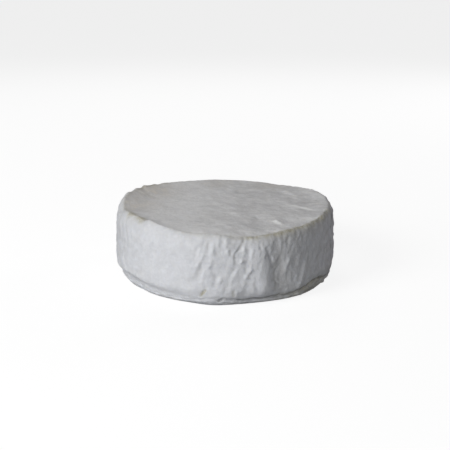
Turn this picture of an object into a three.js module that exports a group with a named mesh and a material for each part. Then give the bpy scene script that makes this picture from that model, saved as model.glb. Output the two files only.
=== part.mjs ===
// A small soft-ripened cheese wheel in its bloomy white rind, lying on its flat base.
// Millimetres, +Z up, the origin under the middle of the wheel, its front towards -Y.
// An azimuth is 0 at the front and grows towards +X, so the back is at 180 degrees.
import * as THREE from "three";

const { degToRad, euclideanModulo, lerp, smoothstep } = THREE.MathUtils;

// The side, as radius and height
const FOOT_RADIUS = 52.3; // the lip round the bottom
const FOOT_UNDERCUT = 1.5; // how far the edge of the flat base lies inside the lip
const GROOVE_HEIGHT = 2.3; // the crease over the lip
const GROOVE_DEPTH = 0.05;
const BELLY_RADIUS = 54.6;
const BELLY_HEIGHT = 9.5;
const SHOULDER_RADIUS = 53.9;
const SHOULDER_HEIGHT = 25;
const RIM_RADIUS = 52.3;
const RIM_HEIGHT = 34.3;
// How the foot rounds under to the base: shares of the undercut inwards and of the groove's height up
const FOOT_ROUNDING = [[1, 0], [0.6, 0.2], [0.1, 0.55]];
// How the side swells out over the groove: shares of the way to the belly, outwards and up
const BELLY_SWELLING = [[0.5, 0.3], [0.9, 0.62]];

// The top: the rim's edge rolls over into a lip, which slopes down to the level middle
const ROLL = 1.5;
// How the side turns in to the rim: shares of the way back to the shoulder, and rolls below the crest
const RIM_TURN = [[0.6, 2.8], [0, 0.9]];
const CREST_RADIUS = RIM_RADIUS - ROLL;
const RIM_SHIFT = 0.6; // the whole rim lies this far to the +X side of the foot
const LIP_WIDTH = 16;
const LIP_CURVE = 2.2; // over 1: steep at the crest, and level where it meets the middle
const TOP_HEIGHT = 33.4;

// The rim rises and sinks round the wheel, and the lip at the foot swells and shrinks
const RIM_SWELLS = [
  { rise: 1.3, times: 1, peak: -105 },
  { rise: 1.2, times: 2, peak: -155 },
  { rise: 0.5, times: 3, peak: -130 },
];
const FOOT_SWELLS = [{ rise: 0.8, times: 1, peak: 45 }];
const RIM_BUMPS = [
  { azimuth: -78, width: 10, rise: -2.9 },
  { azimuth: -60, width: 9, rise: -1.4 },
  { azimuth: -48, width: 2.5, rise: -0.9 },
  { azimuth: -42, width: 3, rise: 0.5 },
  { azimuth: -33, width: 20, rise: -1 },
  { azimuth: -18, width: 7, rise: -0.6 },
  { azimuth: 8, width: 8, rise: -0.8 },
  { azimuth: 40, width: 9, rise: 0.5 },
  { azimuth: 71, width: 11, rise: 0.9 },
  { azimuth: 91, width: 6, rise: -0.6 },
  { azimuth: 110, width: 15, rise: 1.15 },
  { azimuth: 147, width: 7, rise: -0.5 },
  { azimuth: -102, width: 5, rise: 0.55 },
  { azimuth: -120, width: 14, rise: 0.85 },
];
const FOOT_BUMPS = [
  { azimuth: -50, width: 6, rise: -0.5 },
  { azimuth: -6, width: 9, rise: 1.4 },
  { azimuth: 17, width: 9, rise: -0.3 },
  { azimuth: 43, width: 15, rise: 1.2 },
  { azimuth: 72, width: 12, rise: 0.5 },
];
// Where the crease over the lip runs higher, and where it is deeper
const GROOVE_RISES = [
  { azimuth: -58, width: 14, rise: 2 },
  { azimuth: -6, width: 9, rise: 1.2 },
  { azimuth: 52, width: 11, rise: 3 },
];
const GROOVE_DEEPENINGS = [{ azimuth: 38, width: 26, rise: 0.6 }];

// Relief in the rind: slow swells all over, and upright folds on one part of the side
const SWELL_SIZE = 24;
const SWELL_DEPTH = 0.5;
const FOLD_WIDTH = 5.2;
const FOLD_LENGTH = 15;
const FOLD_DEPTH = 0.15;
const FOLD_LEAN = 0.3; // how far a fold leans to the side for each millimetre up
const FOLD_WANDER = 0.35; // how far a fold wanders off its line, in widths
const WANDER_SIZE = 9;
const CREASE_SHARE = 0.2; // the part of the folds that is sharp
const FOLDED_MIDDLE = 75; // azimuth of the middle of the folded part
const FOLDED_REACH = [70, 115]; // how far to both sides the folds stay deep, and where they end
const SMOOTH_SHARE = 0.25; // depth that is left in the folds and crumples elsewhere
const CRUMPLE_SIZE = 9; // low crumples in the top
const CRUMPLE_DEPTH = 0.6;
const CRUMPLED_SIDE = [-30, 20]; // the x where they start to deepen, and where they are deepest

// Single ridges, raised, and grooves, sunk. Those of the side run between azimuths and heights:
// first a broad upright ridge, the hollow beside it and a short ridge low on the right
const SIDE_MARKS = [
  { from: [17.5, 27], to: [18.5, 7], width: 4, rise: 1 },
  { from: [26.5, 22], to: [28.8, 6], width: 3.6, rise: -0.65 },
  { from: [42.8, 15.5], to: [39.3, 7], width: 1.7, rise: 0.6 },
  { from: [19.3, 29.5], to: [23.5, 18], width: 1.3, rise: -0.4 },
  { from: [24.3, 17], to: [25.2, 9], width: 2.2, rise: -0.3 },
  { from: [13.4, 26], to: [11.5, 14], width: 1.3, rise: 0.4 },
  { from: [9.5, 30.5], to: [3.6, 24.5], width: 1.3, rise: -0.4 },
  { from: [1.1, 30.4], to: [1.6, 24.6], width: 1.3, rise: 0.4 },
  { from: [-5.8, 27.5], to: [-7.2, 19.5], width: 1.3, rise: 0.4 },
  { from: [-10, 24], to: [-12.9, 18.7], width: 1.3, rise: 0.3 },
  { from: [-2.6, 13.5], to: [-2.6, 10.3], width: 1.5, rise: 0.4 },
];
// Those of the top run between places in x and y: the first is a long crease inside the high rim
const TOP_MARKS = [
  { from: [-47, 29], to: [-36, 13], width: 1.5, rise: -0.4 },
  { from: [24.4, -31.4], to: [25.6, -34.2], width: 1.8, rise: 0.7 },
  { from: [33, -1.8], to: [42, -11.4], width: 1.8, rise: 0.5 },
  { from: [32, 24.5], to: [35.6, 16], width: 1.8, rise: 0.5 },
];

// Fineness of the surface
const SIDE_EDGE = 1.9;
const TOP_EDGE = 2.5;
const BASE_RINGS = [{ radius: 18, corners: 12 }, { radius: 38, corners: 48 }];

// ---- Repeatable noise ----

// A whole number that looks random, for one corner of a grid of unit cubes
function cornerHash(x, y, z, seed) {
  let bits = Math.imul(x, 0x27d4eb2d) ^ Math.imul(y, 0x165667b1);
  bits ^= Math.imul(z, 0x1b873593) ^ Math.imul(seed, 0x5bd1e995);
  bits = Math.imul(bits ^ (bits >>> 15), 0x2c1b3c6d);
  bits = Math.imul(bits ^ (bits >>> 12), 0x297a2d39);
  return (bits ^ (bits >>> 15)) >>> 0;
}

// A smooth bump field with a swing of about 1 each way, and lumps about 1 across
function noise(x, y, z, seed) {
  const cell = [Math.floor(x), Math.floor(y), Math.floor(z)];
  const inside = [x - cell[0], y - cell[1], z - cell[2]];
  const ease = inside.map((t) => t * t * t * (t * (t * 6 - 15) + 10));
  let total = 0;
  for (let corner = 0; corner < 8; corner++) {
    const step = [corner & 1, (corner >> 1) & 1, corner >> 2];
    const bits = cornerHash(cell[0] + step[0], cell[1] + step[1], cell[2] + step[2], seed);
    let slope = 0;
    let weight = 1;
    for (let axis = 0; axis < 3; axis++) {
      const tilt = ((bits >>> (10 * axis)) & 1023) / 511.5 - 1;
      slope += tilt * (inside[axis] - step[axis]);
      weight *= step[axis] ? ease[axis] : 1 - ease[axis];
    }
    total += slope * weight;
  }
  return total * 1.6;
}

// ---- Places on the wheel ----

function place(radius, azimuth, height) {
  return new THREE.Vector3(radius * Math.sin(azimuth), -radius * Math.cos(azimuth), height);
}

// How far one azimuth is from another, the short way round
function turnBetween(azimuth, other) {
  return euclideanModulo(azimuth - other + Math.PI, 2 * Math.PI) - Math.PI;
}

// 1 in the middle, falling smoothly to nearly nothing two widths out
function bell(distance) {
  return Math.exp(-distance * distance);
}

function swellsAt(swells, azimuth) {
  let total = 0;
  for (const { rise, times, peak } of swells) {
    total += rise * Math.cos(times * azimuth - degToRad(peak));
  }
  return total;
}

function bumpsAt(bumps, azimuth) {
  let total = 0;
  for (const bump of bumps) {
    const away = turnBetween(azimuth, degToRad(bump.azimuth));
    total += bump.rise * bell(away / degToRad(bump.width));
  }
  return total;
}

function rimHeight(azimuth) {
  return RIM_HEIGHT + swellsAt(RIM_SWELLS, azimuth) + bumpsAt(RIM_BUMPS, azimuth);
}

function crestRadius(azimuth) {
  return CREST_RADIUS + RIM_SHIFT * Math.sin(azimuth);
}

// The outline from the edge of the flat base, up the side and over the roll to the rim's crest
function profileAt(azimuth) {
  const rim = rimHeight(azimuth);
  const rimRadius = crestRadius(azimuth) + ROLL;
  const foot = FOOT_RADIUS + swellsAt(FOOT_SWELLS, azimuth) + bumpsAt(FOOT_BUMPS, azimuth);
  const groove = GROOVE_HEIGHT + bumpsAt(GROOVE_RISES, azimuth);
  const stretch = rim / RIM_HEIGHT;
  const points = [
    ...FOOT_ROUNDING.map(([inwards, up]) => [foot - FOOT_UNDERCUT * inwards, groove * up]),
    [foot - GROOVE_DEPTH - bumpsAt(GROOVE_DEEPENINGS, azimuth), groove],
    ...BELLY_SWELLING.map(([out, up]) => [lerp(foot, BELLY_RADIUS, out), lerp(groove, BELLY_HEIGHT, up)]),
    [BELLY_RADIUS, BELLY_HEIGHT],
    [(BELLY_RADIUS + SHOULDER_RADIUS) / 2, (BELLY_HEIGHT + SHOULDER_HEIGHT) * 0.5 * stretch],
    [SHOULDER_RADIUS, SHOULDER_HEIGHT * stretch],
    ...RIM_TURN.map(([back, down]) => [lerp(rimRadius, SHOULDER_RADIUS, back), rim - ROLL * down]),
    [crestRadius(azimuth), rim],
  ];
  return new THREE.SplineCurve(points.map(([radius, height]) => new THREE.Vector2(radius, height)));
}

// ---- Relief ----

// How deep the folds are at an azimuth, from 0 to 1
function foldedShare(azimuth) {
  const away = Math.abs(turnBetween(azimuth, degToRad(FOLDED_MIDDLE)));
  const [near, far] = FOLDED_REACH.map(degToRad);
  return lerp(1, SMOOTH_SHARE, smoothstep(away, near, far));
}

// Sharp ridges between rounded hollows, from about -1 to 1
function creases(x, y, z, seed) {
  return 1 - 2.4 * Math.abs(noise(x, y, z, seed));
}

// Upright folds that wander and end, mostly rounded, from about -1 to 1
function folds(azimuth, height) {
  const across = azimuth - (FOLD_LEAN * (height - RIM_HEIGHT / 2)) / BELLY_RADIUS;
  const spot = place(BELLY_RADIUS, across, height);
  const wander = FOLD_WANDER * noise(spot.x / WANDER_SIZE, spot.y / WANDER_SIZE, spot.z / WANDER_SIZE, 3);
  const x = spot.x / FOLD_WIDTH + wander;
  const y = spot.y / FOLD_WIDTH - wander;
  const z = spot.z / FOLD_LENGTH;
  return lerp(noise(x, y, z, 4), creases(x, y, z, 5), CREASE_SHARE);
}

// The ridges and grooves together, at a place in the flat picture in which they are straight
function marksAt(marks, u, v) {
  const spot = new THREE.Vector3(u, v, 0);
  const nearest = new THREE.Vector3();
  let total = 0;
  for (const { from, to, width, rise } of marks) {
    const line = new THREE.Line3(new THREE.Vector3(...from, 0), new THREE.Vector3(...to, 0));
    line.closestPointToPoint(spot, true, nearest);
    total += rise * bell(nearest.distanceTo(spot) / width);
  }
  return total;
}

// The side unrolled: an azimuth in degrees becomes a length round the belly
function unroll([azimuth, height]) {
  return [degToRad(azimuth) * BELLY_RADIUS, height];
}

const UNROLLED_MARKS = SIDE_MARKS.map((mark) => ({ ...mark, from: unroll(mark.from), to: unroll(mark.to) }));

function slowSwell({ x, y, z }) {
  return SWELL_DEPTH * noise(x / SWELL_SIZE, y / SWELL_SIZE, z / SWELL_SIZE, 1);
}

function sideRelief(azimuth, { z }) {
  const folded = FOLD_DEPTH * foldedShare(azimuth) * folds(azimuth, z);
  const marks = marksAt(UNROLLED_MARKS, turnBetween(azimuth, 0) * BELLY_RADIUS, z);
  return smoothstep(z, GROOVE_HEIGHT, BELLY_HEIGHT) * folded + marks;
}

function topRelief({ x, y }) {
  const crumple = noise(x / CRUMPLE_SIZE, y / CRUMPLE_SIZE, 0.5, 7);
  const crumpled = lerp(SMOOTH_SHARE, 1, smoothstep(x, ...CRUMPLED_SIDE));
  return CRUMPLE_DEPTH * crumpled * crumple * Math.abs(crumple) + marksAt(TOP_MARKS, x, y);
}

// ---- The surface, as rings of points from the middle of the base to the middle of the top ----

function ringCorners(radius, edge) {
  return Math.max(6, Math.round((2 * Math.PI * radius) / edge));
}

function ring(corners, spotAt) {
  return Array.from({ length: corners }, (_, i) => spotAt((2 * Math.PI * i) / corners));
}

// Where along the profile the rings of the side lie: each span is cut into steps of one edge
function profileStops() {
  const points = profileAt(0).points;
  const stops = [];
  for (let span = 0; span < points.length - 1; span++) {
    const steps = Math.max(1, Math.round(points[span].distanceTo(points[span + 1]) / SIDE_EDGE));
    for (let step = 0; step < steps; step++) stops.push((span + step / steps) / (points.length - 1));
  }
  return [...stops, 1];
}

// A point of the side or the rim, moved out of the smooth outline by the relief
function sideSpot(azimuth, stop) {
  const profile = profileAt(azimuth);
  const { x: radius, y: height } = profile.getPoint(stop);
  const along = profile.getTangent(stop);
  const smooth = place(radius, azimuth, height);
  const uprightShare = Math.max(0, along.y);
  const relief = uprightShare * sideRelief(azimuth, smooth) + (1 - uprightShare) * topRelief(smooth);
  const aboveFoot = smoothstep(height, 0, GROOVE_HEIGHT);
  const move = aboveFoot * (relief + slowSwell(smooth));
  return place(radius + move * along.y, azimuth, height - move * along.x);
}

// A point of the top, at a share of the way from the middle to the crest
function topSpot(share, azimuth) {
  const radius = share * crestRadius(azimuth);
  const inside = Math.min(1, (crestRadius(azimuth) - radius) / LIP_WIDTH);
  const lip = (rimHeight(azimuth) - TOP_HEIGHT) * (1 - inside) ** LIP_CURVE;
  const smooth = place(radius, azimuth, TOP_HEIGHT + lip);
  smooth.z += topRelief(smooth) + slowSwell(smooth);
  return smooth;
}

function wheelRings() {
  const rings = [[place(0, 0, 0)]];
  for (const { radius, corners } of BASE_RINGS) {
    rings.push(ring(corners, (azimuth) => place(radius, azimuth, 0)));
  }
  const sideCorners = ringCorners(BELLY_RADIUS, SIDE_EDGE);
  for (const stop of profileStops()) {
    rings.push(ring(sideCorners, (azimuth) => sideSpot(azimuth, stop)));
  }
  const topRings = Math.round(CREST_RADIUS / TOP_EDGE);
  for (let i = 1; i < topRings; i++) {
    const share = 1 - i / topRings;
    const onLip = (1 - share) * CREST_RADIUS < LIP_WIDTH / 2;
    const corners = onLip ? sideCorners : ringCorners(share * CREST_RADIUS, TOP_EDGE);
    rings.push(ring(corners, (azimuth) => topSpot(share, azimuth)));
  }
  rings.push([topSpot(0, 0)]);
  return rings;
}

// Triangles between two rings of any number of corners, wound so that they face out
function stitch(lower, upper) {
  const triangles = [];
  let i = 0;
  let j = 0;
  const lowerSteps = lower.length > 1 ? lower.length : 0;
  const upperSteps = upper.length > 1 ? upper.length : 0;
  while (i < lowerSteps || j < upperSteps) {
    const lowerNext = i < lowerSteps && (j >= upperSteps || (i + 1) * upperSteps <= (j + 1) * lowerSteps);
    const a = lower[i % lower.length];
    const b = upper[j % upper.length];
    if (lowerNext) triangles.push(a, lower[++i % lower.length], b);
    else triangles.push(a, upper[++j % upper.length], b);
  }
  return triangles;
}

function wheelGeometry() {
  const rings = wheelRings();
  const positions = rings.flat().flatMap((spot) => [spot.x, spot.y, spot.z]);
  const geometry = new THREE.BufferGeometry();
  geometry.setAttribute("position", new THREE.Float32BufferAttribute(positions, 3));
  let first = 0;
  const numbered = rings.map((spots) => spots.map(() => first++));
  const triangles = numbered.slice(1).flatMap((upper, k) => stitch(numbered[k], upper));
  geometry.setIndex(triangles);
  geometry.computeBoundingBox();
  const middle = geometry.boundingBox.getCenter(new THREE.Vector3());
  geometry.translate(-middle.x, -middle.y, 0);
  geometry.computeVertexNormals();
  return geometry;
}

const rind = new THREE.MeshStandardMaterial({ color: 0xe9e9e6, roughness: 0.85, metalness: 0 });

const wheel = new THREE.Mesh(wheelGeometry(), rind);
wheel.name = "wheel";

const group = new THREE.Group();
group.add(wheel);
export default group;
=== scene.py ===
"""The looks of a small soft-ripened cheese wheel in a bloomy white rind, for Blender 4.5.

The wheel's form repeats the driving dimensions of the CAD solid, in millimetres, on a much finer mesh, and
adds the low relief that the solid is too coarse for. An azimuth is 0 at the front, which is -Y, and grows
towards +X. It is in degrees in the tables, and in radians in the functions that shape the wheel.
"""

import math

import bpy
import numpy as np
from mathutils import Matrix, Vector


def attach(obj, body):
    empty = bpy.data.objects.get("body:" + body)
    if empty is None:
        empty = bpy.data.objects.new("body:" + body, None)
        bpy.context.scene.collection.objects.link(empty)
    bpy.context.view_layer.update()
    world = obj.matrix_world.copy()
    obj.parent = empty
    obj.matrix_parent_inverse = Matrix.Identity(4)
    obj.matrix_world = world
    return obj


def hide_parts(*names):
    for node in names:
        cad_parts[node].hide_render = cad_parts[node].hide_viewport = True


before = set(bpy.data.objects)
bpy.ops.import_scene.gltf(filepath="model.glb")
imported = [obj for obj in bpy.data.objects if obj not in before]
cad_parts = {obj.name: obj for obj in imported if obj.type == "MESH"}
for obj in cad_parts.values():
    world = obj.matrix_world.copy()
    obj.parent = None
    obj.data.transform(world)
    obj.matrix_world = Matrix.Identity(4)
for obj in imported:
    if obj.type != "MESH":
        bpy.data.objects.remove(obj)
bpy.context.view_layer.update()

MM = 0.001

# ---- The solid's driving dimensions, as in its own source ----

# the side, as radius and height
FOOT_RADIUS = 52.3  # the lip round the bottom
FOOT_UNDERCUT = 1.5  # how far the edge of the flat base lies inside the lip
GROOVE_HEIGHT = 2.3  # the crease over the lip
GROOVE_DEPTH = 0.05
BELLY_RADIUS = 54.6
BELLY_HEIGHT = 9.5
SHOULDER_RADIUS = 53.9
SHOULDER_HEIGHT = 25
RIM_RADIUS = 52.3
RIM_HEIGHT = 34.3
# how the foot rounds under to the base: shares of the undercut inwards and of the groove's height up
FOOT_ROUNDING = [(1, 0), (0.6, 0.2), (0.1, 0.55)]
# how the side swells out over the groove: shares of the way to the belly, outwards and up
BELLY_SWELLING = [(0.5, 0.3), (0.9, 0.62)]

# the top: the rim's edge rolls over into a lip, which slopes down to the level middle
ROLL = 1.5
# how the side turns in to the rim: shares of the way back to the shoulder, and rolls below the crest
RIM_TURN = [(0.6, 2.8), (0, 0.9)]
CREST_RADIUS = RIM_RADIUS - ROLL
RIM_SHIFT = 0.6  # the whole rim lies this far to the +X side of the foot
LIP_WIDTH = 16
LIP_CURVE = 2.2  # over 1: steep at the crest, and level where it meets the middle
TOP_HEIGHT = 33.4

# the rim rises and sinks round the wheel, and the lip at the foot swells and shrinks:
# (rise, times round, azimuth of the peak)
RIM_SWELLS = [(1.3, 1, -105), (1.2, 2, -155), (0.5, 3, -130)]
FOOT_SWELLS = [(0.8, 1, 45)]
# (azimuth, width, rise)
RIM_BUMPS = [
    (-78, 10, -2.9),
    (-60, 9, -1.4),
    (-48, 2.5, -0.9),
    (-42, 3, 0.5),
    (-33, 20, -1),
    (-18, 7, -0.6),
    (8, 8, -0.8),
    (40, 9, 0.5),
    (71, 11, 0.9),
    (91, 6, -0.6),
    (110, 15, 1.15),
    (147, 7, -0.5),
    (-102, 5, 0.55),
    (-120, 14, 0.85),
]
FOOT_BUMPS = [(-50, 6, -0.5), (-6, 9, 1.4), (17, 9, -0.3), (43, 15, 1.2), (72, 12, 0.5)]
# where the crease over the lip runs higher, and where it is deeper
GROOVE_RISES = [(-58, 14, 2), (-6, 9, 1.2), (52, 11, 3)]
GROOVE_DEEPENINGS = [(38, 26, 0.6)]

# relief in the rind: slow swells all over, and upright folds on one part of the side
SWELL_SIZE = 24
SWELL_DEPTH = 0.5
FOLD_WIDTH = 5.2
FOLD_LENGTH = 15
FOLD_DEPTH = 0.15
FOLD_LEAN = 0.3  # how far a fold leans to the side for each millimetre up
FOLD_WANDER = 0.35  # how far a fold wanders off its line, in widths
WANDER_SIZE = 9
CREASE_SHARE = 0.2  # the part of the folds that is sharp
FOLDED_MIDDLE = 75  # azimuth of the middle of the folded part
FOLDED_REACH = (70, 115)  # how far to both sides the folds stay deep, and where they end
SMOOTH_SHARE = 0.25  # depth that is left in the folds and crumples elsewhere
CRUMPLE_SIZE = 9  # low crumples in the top
CRUMPLE_DEPTH = 0.6
CRUMPLED_SIDE = (-30, 20)  # the x where they start to deepen, and where they are deepest

# ---- Single welts and grooves in the rind: a path, its width and how far it is raised ----

# on the side, a path's points are an azimuth and a height; first a broad ridge, the hollow beside it,
# and a short ridge low on the right
BROAD_MARKS = [
    ([(17.5, 27), (18.5, 7)], 4.0, 1.0),
    ([(26.5, 22), (28.8, 6)], 3.6, -0.65),
    ([(43, 15.5), (42, 11), (39.3, 7)], 1.7, 0.6),
]
SIDE_MARKS = [
    ([(19, 28.9), (20.5, 25.9), (22.3, 21.5), (23.7, 17.6)], 0.8, -0.3),
    ([(24.3, 17), (25.2, 9.5)], 2.0, -0.3),
    ([(17.3, 29), (17.2, 26)], 0.8, -0.25),
    ([(13.3, 26), (13.2, 19), (10.9, 14)], 1.0, 0.35),
    ([(13.4, 31.3), (13.1, 29.6)], 0.6, 0.3),
    ([(11.2, 25), (10.2, 17.5)], 0.8, -0.18),
    ([(9.5, 26.7), (8.1, 20.8)], 0.9, 0.32),
    ([(8.2, 30.3), (5.6, 26.6), (3.3, 23), (4.2, 20.5)], 0.7, 0.2),
    ([(9.8, 31.3), (7.7, 27.6), (4.8, 24.6), (5.3, 21)], 0.65, -0.28),
    ([(6.7, 28.3), (3.2, 25.8)], 0.6, -0.2),
    ([(3.4, 31.6), (5.2, 30.4)], 0.6, 0.22),
    ([(1.1, 30.8), (1.6, 24.4)], 1.1, 0.36),
    ([(-0.7, 31), (-1.7, 28)], 0.8, -0.25),
    ([(-2.1, 25.6), (-2.1, 23.2)], 0.8, -0.22),
    ([(-3.1, 32.3), (-3, 27)], 0.9, 0.26),
    ([(-3.5, 27), (-3.5, 24)], 0.8, -0.22),
    ([(-5.8, 28), (-5.8, 23), (-7.3, 19)], 1.0, 0.32),
    ([(-7.7, 29.2), (-8.1, 25.2)], 0.9, -0.22),
    ([(-10.1, 30.7), (-10.1, 28.3)], 0.8, -0.2),
    ([(-10, 24), (-12.9, 18.6)], 1.0, 0.26),
    ([(-11.9, 25.8), (-12.9, 23.5)], 0.8, 0.22),
    ([(-13.4, 27), (-14.3, 23.5)], 0.8, -0.2),
    ([(-11.4, 19.3), (-12.9, 13)], 1.2, -0.3),
    ([(-10.5, 14.5), (-11, 11.5)], 0.9, 0.2),
    ([(-17.1, 32.3), (-16.9, 29)], 1.0, 0.12),
    ([(-20.1, 32), (-22.8, 26.8)], 1.4, 0.12),
    ([(-2, 13), (-2.2, 11.2)], 0.9, 0.36),
    ([(-4.4, 14.4), (-4.8, 10.6)], 1.1, -0.3),
    ([(8, 21), (3, 12)], 1.2, 0.16),
    ([(5.2, 19), (0.4, 9)], 1.1, -0.14),
    ([(10.5, 14), (7, 5.5)], 1.2, 0.16),
    ([(-6.6, 16), (-8, 11)], 1.0, 0.14),
    ([(5.4, 6.8), (5.9, 4.4)], 0.8, 0.3),
    ([(12.6, 13), (13.8, 7)], 1.6, 0.2),
    ([(25, 29), (24.3, 25.2)], 0.9, -0.12),
    ([(28.1, 26.4), (27.5, 23)], 0.8, 0.1),
    ([(29.5, 30.7), (29.3, 27.7)], 0.8, -0.11),
    ([(30.3, 26), (30.9, 22.6)], 0.8, 0.1),
    ([(32.4, 29.8), (31.6, 27.8)], 0.8, -0.1),
    ([(33.4, 28.4), (32.6, 25)], 0.8, 0.1),
    ([(37.7, 27.7), (37.6, 24.5)], 0.9, 0.1),
    ([(27, 15.8), (25.9, 11)], 0.9, 0.1),
    ([(33.5, 18), (30.9, 12)], 1.0, -0.1),
    ([(30.9, 15), (29.8, 10.4)], 0.9, 0.1),
    ([(33.8, 20.3), (30.9, 16.8)], 1.1, 0.1),
    ([(-50.1, 10.4), (-45.4, 9.1)], 0.9, -0.1),
    ([(-49.1, 13.6), (-46.7, 12.7)], 0.9, -0.1),
    ([(-57, 12), (-50, 8.4)], 1.2, -0.12),
    ([(-23.9, 10), (-14.3, 11.1)], 1.4, -0.14),
    ([(-9.2, 7.5), (-11.2, 5.3)], 0.6, -0.3),
    ([(-2.6, 2.4), (-1.7, 2.7)], 0.6, -0.7),
]
# on the top, a path's points are an x and a y
TOP_MARKS = [
    ([(-47, 29), (-41.5, 20.5), (-38, 16), (-36, 13)], 1.5, -0.25),
    ([(-31, -6), (-24, -19)], 2.0, 0.12),
    ([(-22.5, -24), (-20, -29)], 1.8, -0.16),
    ([(-14.5, -31), (-13, -31)], 1.6, -0.2),
    ([(-11, -37.5), (-8.5, -39)], 1.4, -0.16),
    ([(24.4, -31.4), (25.6, -34.2)], 1.5, 0.7),
    ([(20.5, -43), (23, -43.5), (26.5, -45.5)], 1.5, 0.3),
    ([(35, -3.8), (38.5, -7), (42, -11.4)], 1.4, 0.35),
    ([(42.3, -1), (47.3, -1)], 1.4, 0.25),
    ([(32, 24.5), (35.6, 16)], 1.8, 0.4),
    ([(37.6, 4), (42.7, 4)], 2.0, -0.2),
    ([(24, 24.7), (26.7, 24.7)], 1.8, -0.2),
    ([(36, -24), (43.5, -26)], 2.8, 0.2),
]

# marks scattered over the side: the least and the most of each measure, or the mean and spread of the lean
SIDE_SCATTER = {
    "seed": 5,
    "draws": 1100,
    "height": (4.5, RIM_HEIGHT - 2),
    "lean": (0.3, 0.4),  # in radians, to the right of upright
    "length": (1.5, 5),
    "width": (0.8, 1.5),
    "rise": (0.03, 0.11),
}
CALM_RISE = 0.4  # the share of its rise that a mark would have where there are no folds at all
CALM_THINNING = 1.5  # over 1: marks get rare sooner than folds get shallow
DRAWN_STRETCH = (-16, 22)  # the azimuths between which SIDE_MARKS leaves less room for them
DRAWN_LOSS = 0.6  # the share of them that is left out there
# marks scattered over the top, in the same way; a turn is in degrees from +X
TOP_SCATTER = {
    "seed": 9,
    "draws": 200,
    "place": (-50, 50),
    "turn": (-63, 28),
    "half_length": (1, 5),
    "width": (1.2, 2.6),
    "rise": (0.04, 0.14),
}
TOP_SCATTER_LEFT = 0.15  # the share of them that is kept on the left
TOP_SCATTER_SIDE = (-25, 15)  # the x from which more are kept, and from which all are
RAISED_SHARE = 0.6  # of all scattered marks: the others are sunk

# ---- Noise in the relief ----
# A layer of noise is its strength, the width and the height of its lumps, and its seed. A flat layer, for the
# top or a line round the wheel, has one size. A stretch round the wheel is its azimuth, width and amount.

# how the marks stray off their paths, to the side and up, or in x and y, and how those of the side fade
BROAD_STRAY = (0.8, 8, 8, 36)
SIDE_STRAYS = [(0.4, 2.4, 3, 31), (0.3, 3, 3, 32)]
TOP_STRAYS = [(0.8, 4, 33), (0.8, 4, 34)]
SIDE_FADING = (0.9, 2, 2, 35)
FADING_LIMITS = (0.2, 2)

# the fine unevenness of the skin, and its share on a side without folds and on the top's left and right
SKIN = [(0.13, 5.5, 7, 21), (0.1, 2.1, 2.6, 22), (0.03, 1.1, 1.3, 23)]
CALM_SKIN = 0.7
TOP_SKIN = (0.5, 0.9)

# narrow upright wrinkles on the side: faint all round, stronger on some stretches, and broken
WRINKLE_DEPTH = 0.14
WRINKLES_ALL_ROUND = 0.2
WRINKLES = [(2, 16, 0.5), (36, 14, 0.5), (66, 20, 1.1), (120, 30, 1.2), (170, 16, 0.8)]
WRINKLE_LINES = [(1, 1.9, 3.5, 24), (0.5, 1.2, 2.4, 25)]
WRINKLE_BREAKS = (0.8, 5, 5, 26)
WRINKLE_MEAN = 0.6  # what the breaks leave on average
WRINKLE_GROWTH = (4, 18)  # the heights between which they grow from nothing to their full depth

# low lumps on some stretches of the side
LUMPS = [(78, 24, 0.75), (130, 24, 0.5), (-78, 34, 0.42)]
LUMP_LAYER = (1, 2.8, 3.2, 27)

# small bumps along the crest, and how far from it they reach
RAG_DEPTH = 0.4
RAGS_ALL_ROUND = 0.2
RIM_RAGS = [(-118, 26, 2.0), (12, 22, 0.6), (56, 26, 1.1)]
RAG_LAYERS = [(0.6, 2.4, 41), (0.3, 1.2, 42), (1, 4.4, 43)]
RAG_REACH = 1.6

# lumps in the lip at the foot, deeper on one stretch, that end this far over the groove
FOOT_LUMP_DEPTH = 0.25
FOOT_RUGGEDNESS = [(58, 28, 0.6)]
FOOT_LUMPS = (1, 2.6, 1.6, 61)
FOOT_LUMPS_END = 2
# two thin creases along the lip, one in the groove and a broken one lower down, and where both are deeper
# or, below 0, shallower
FOOT_CREASE_DEPTH = 0.06
FOOT_CREASES = [(38, 24, 0.24), (62, 16, 0.2), (-52, 30, -0.1)]
UPPER_CREASE_WIDTH = 0.4
UPPER_CREASE_STRAY = (0.3, 5, 62)
LOWER_CREASE_WIDTH = 0.3
LOWER_CREASE_STRAY = (0.3, 4, 63)
LOWER_CREASE_HEIGHT = 0.5  # as a share of the groove's
LOWER_CREASE_DEPTH = 0.8  # as a share of the upper one's
LOWER_CREASE_BREAKS = (1.2, 3, 64)
LOWER_CREASE_MEAN = 0.6
# where the wall eases gently into the foot, and the bands that this moves: height over the groove, width
# and share of the amount
FOOT_EASINGS = [(-62, 34, 0.5)]
EASED_BANDS = [(1.9, 1.2, -1), (0, 0.9, 0.8)]
FOOT_GROWTH = (0.05, 0.7)  # the heights between which the foot's relief grows, so that the base stays flat

# ---- Where the mould is thin or thick, and where shade and highlight are painted: a place, its reach and how much ----

# beige rind in a line along the rim's edge, by azimuth
RIM_TINTS = [
    (-61, 5, 1.0),
    (-50, 4, 0.9),
    (-70, 20, 0.45),
    (-15, 16, 0.3),
    (12, 10, 0.7),
    (32, 14, 0.9),
    (62, 24, 1.0),
    (110, 14, 0.4),
    (165, 22, 0.6),
    (-130, 24, 0.8),
]
RIM_TINT_WIDTH = 1.1
RIM_TINT_WIDENINGS = [(-61, 5, 0.9), (-50, 4, 0.9)]
RIM_TINT_OUTSIDE = 0.05  # how far outside the crest the line runs at the front and at the back
RIM_TINT_SWING = 0.6  # how much further out it runs on the right, and further in on the left
RIM_TINT_STRAY = (0.6, 3, 51)
RIM_TINT_BREAKS = (0.6, 2.2, 52)
RIM_TINT_MEAN = 0.9
RIM_TINT_REACH = (4, 1)  # how far below the crest it ends, and from where it is full
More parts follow.
